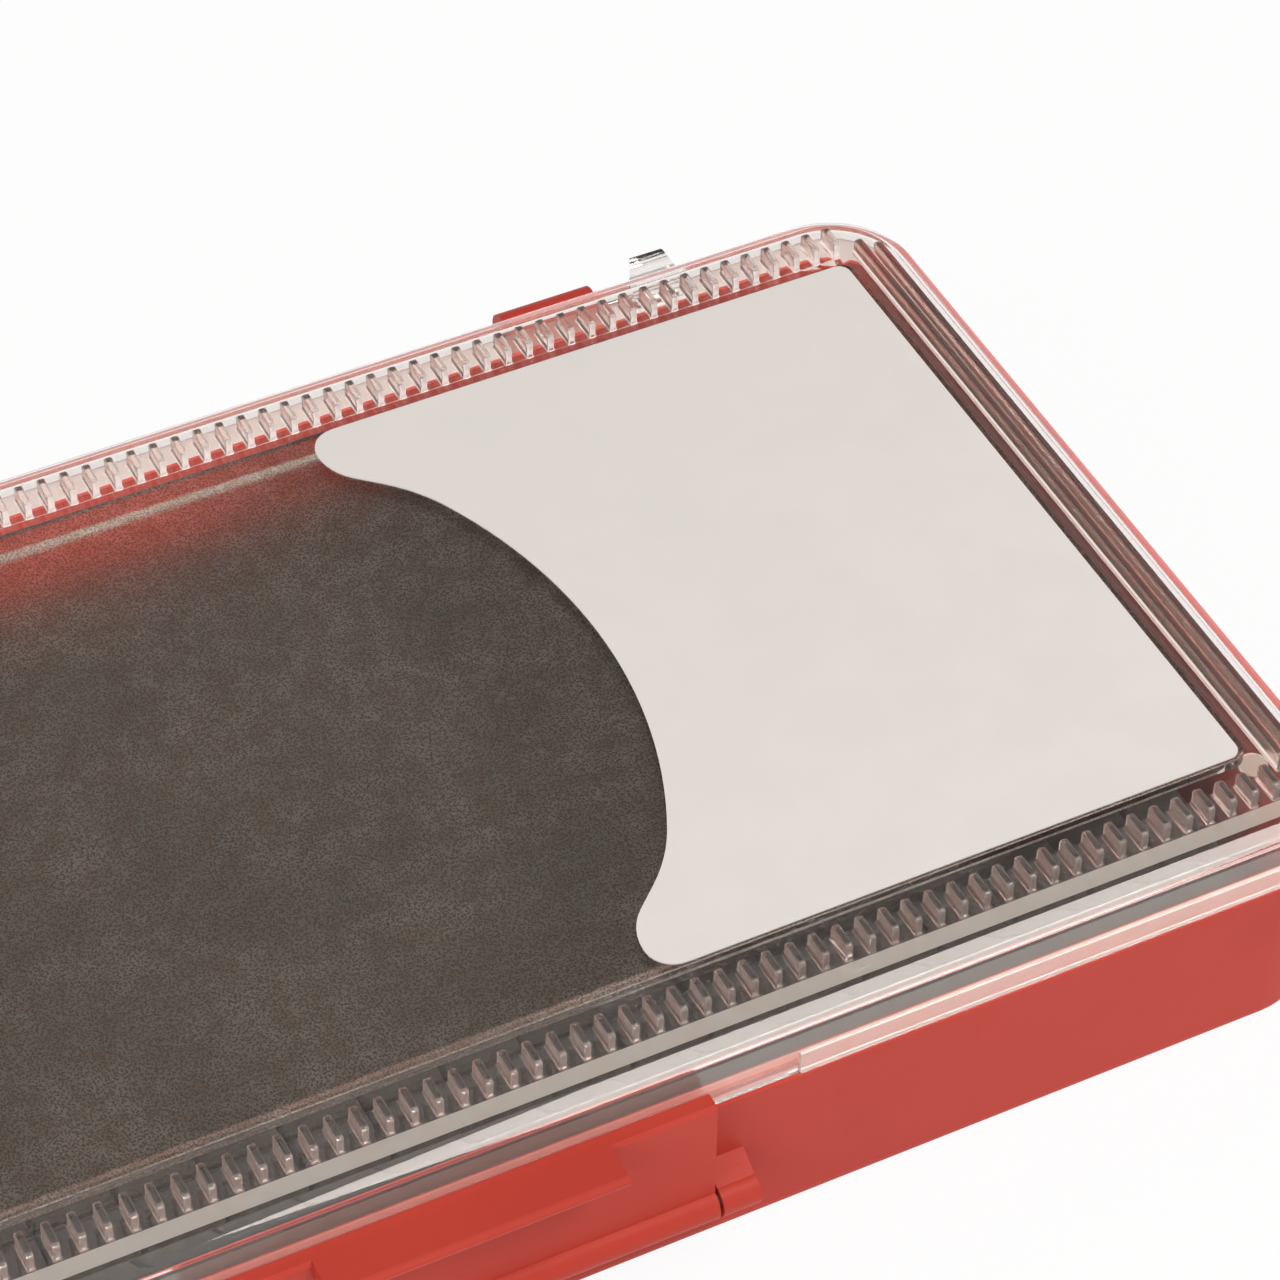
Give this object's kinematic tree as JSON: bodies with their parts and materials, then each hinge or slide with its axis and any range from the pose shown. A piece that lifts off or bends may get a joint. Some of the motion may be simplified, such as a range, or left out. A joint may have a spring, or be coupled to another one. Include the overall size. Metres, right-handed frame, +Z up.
{
  "type": "fly box",
  "caption": "Slim hinged fly box: opaque tray with a slit foam mat, clear ribbed lid on two pin hinges, white blank label and one front latch.",
  "frame": {"origin": "centre of the bounding box's bottom face: the middle of the tray's underside", "axes": "+X along the box (label end at +X), +Y towards the hinges, -Y towards the latch, +Z up through the lid"},
  "size_m": [0.2, 0.1172, 0.0296],
  "materials": {
    "tray_red": "satin",
    "latch_red": "satin",
    "lid_clear": "gloss",
    "pin_steel": "satin",
    "foam": "matte",
    "adhesive": "satin",
    "label_white": "satin"
  },
  "bodies": {
    "base": {"base_tray": "tray_red", "hinge_pin_left": "pin_steel", "hinge_pin_right": "pin_steel", "latch_pin": "pin_steel", "foam_mat": "foam", "foam_adhesive": "adhesive"},
    "lid": {"clear_lid": "lid_clear", "label": "label_white"},
    "latch": {"front_latch": "latch_red"}
  },
  "joints": [
    {"name": "lid_hinge", "type": "hinge", "parent": "base", "child": "lid", "pos_m": [0, 0.0561, 0.0203], "axis": [-1, 0, 0], "range_deg": [0, 180]},
    {"name": "latch_hinge", "type": "hinge", "parent": "base", "child": "latch", "pos_m": [0, -0.054, 0.009], "axis": [1, 0, 0], "range_deg": [0, 90]}
  ]
}
